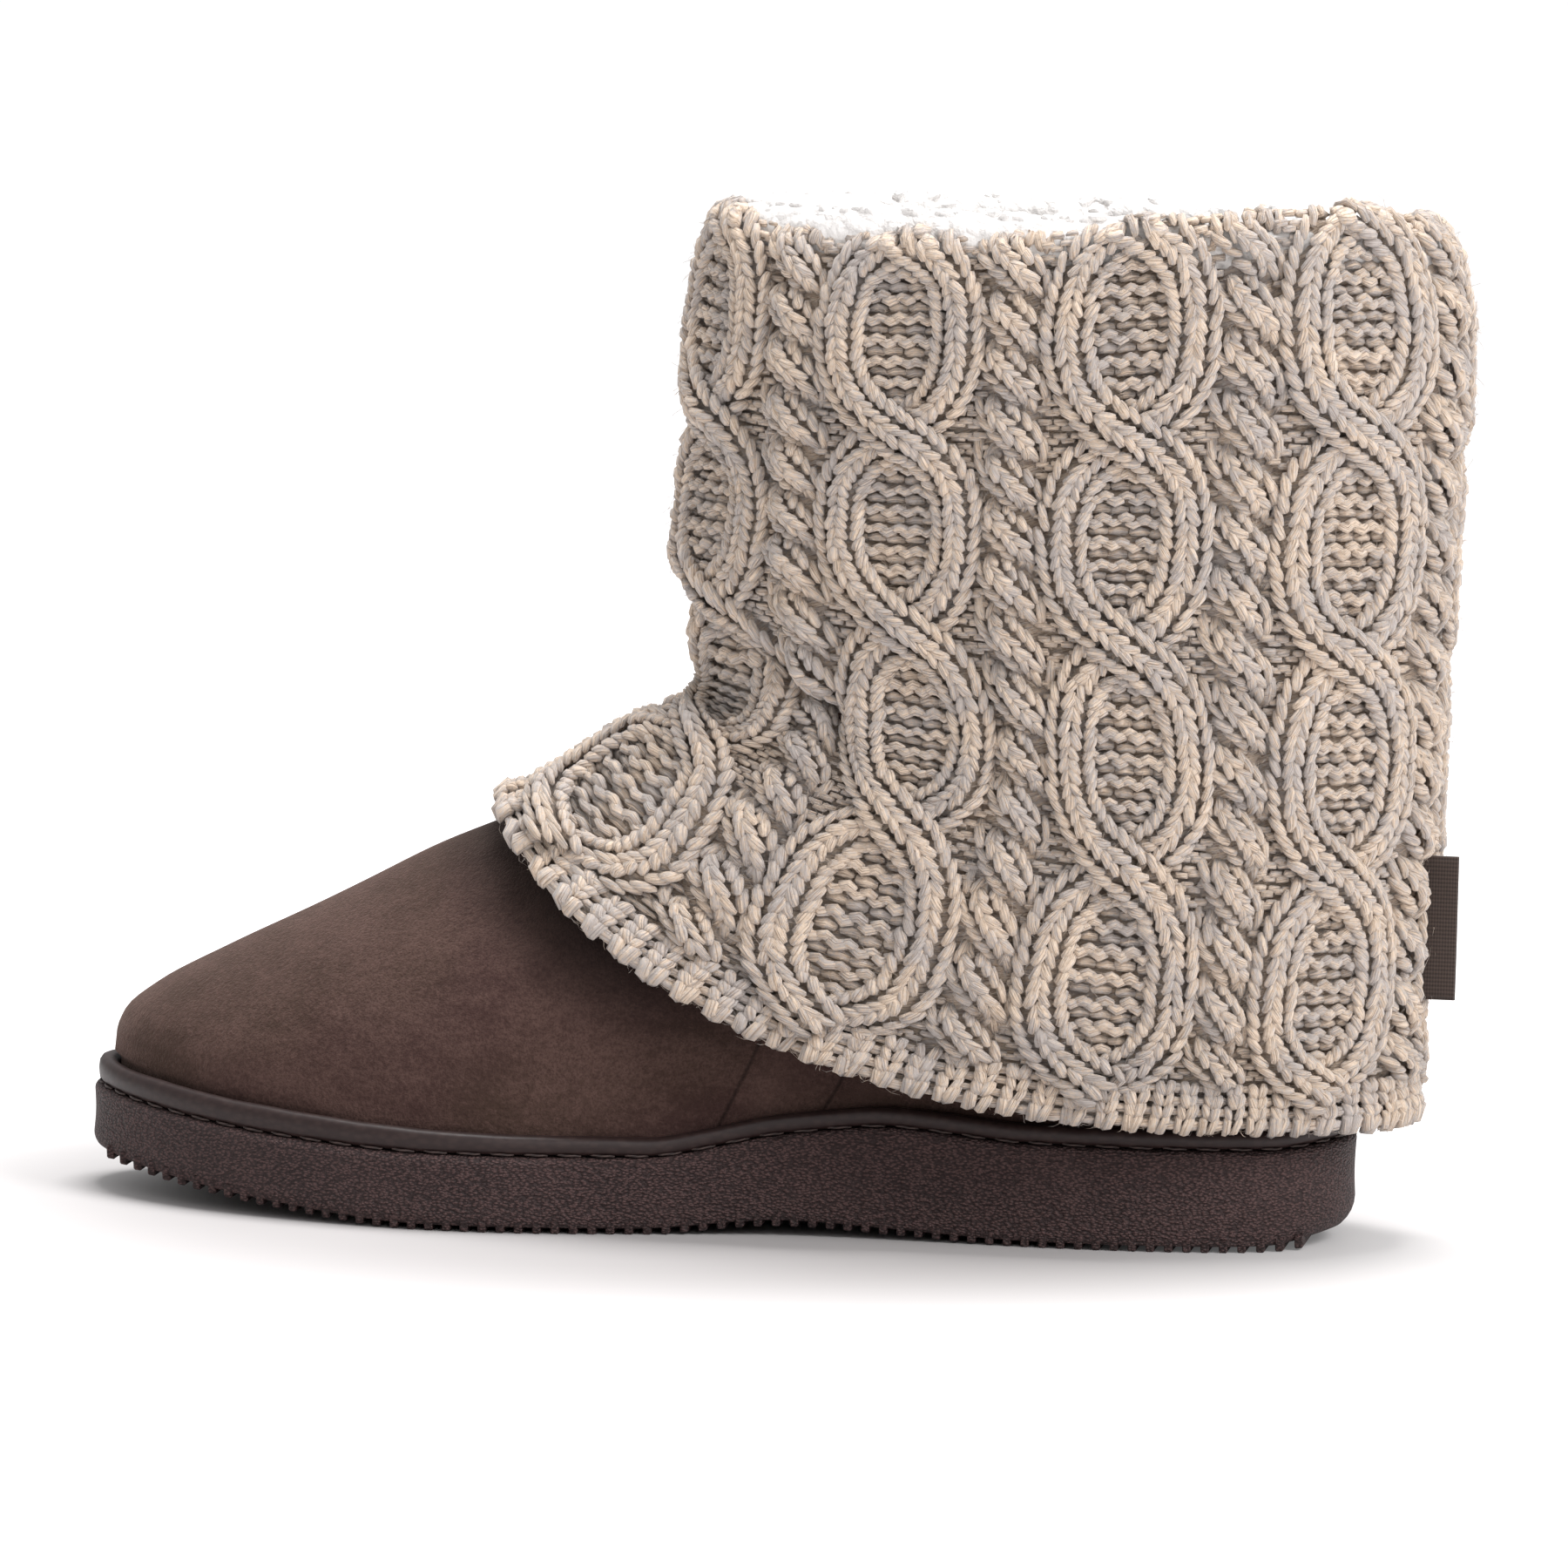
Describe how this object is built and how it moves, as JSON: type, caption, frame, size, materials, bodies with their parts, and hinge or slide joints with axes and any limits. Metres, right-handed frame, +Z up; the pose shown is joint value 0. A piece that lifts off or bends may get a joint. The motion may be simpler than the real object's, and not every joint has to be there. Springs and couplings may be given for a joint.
{
  "type": "slipper boot",
  "caption": "Soft ankle-high slipper boot with a rubber sole, a suede-like rounded vamp and a cable-knit cuff that hangs over the instep and heel.",
  "frame": {"origin": "on the floor under the middle of the heel, in the smooth heel pad of the tread", "axes": "+X from the toe towards the heel, +Z up, -Y towards the lateral side of this left shoe"},
  "size_m": [0.2876, 0.1032, 0.2148],
  "materials": {
    "sole_rubber": "matt moulded dark brown rubber with a cloth-like side texture",
    "welt_rubber": "smooth satin dark brown bead",
    "suede": "short-napped dark brown suede-like cloth",
    "fleece": "white curly pile lining",
    "knit": "heathered beige and grey yarn, cable knitted",
    "woven_tape": "dark brown woven tape, bare"
  },
  "bodies": {
    "root": {"outsole": "sole_rubber", "welt": "welt_rubber", "upper": "suede", "insole": "fleece", "knit_cuff": "knit", "back_tag": "woven_tape"}
  },
  "joints": []
}
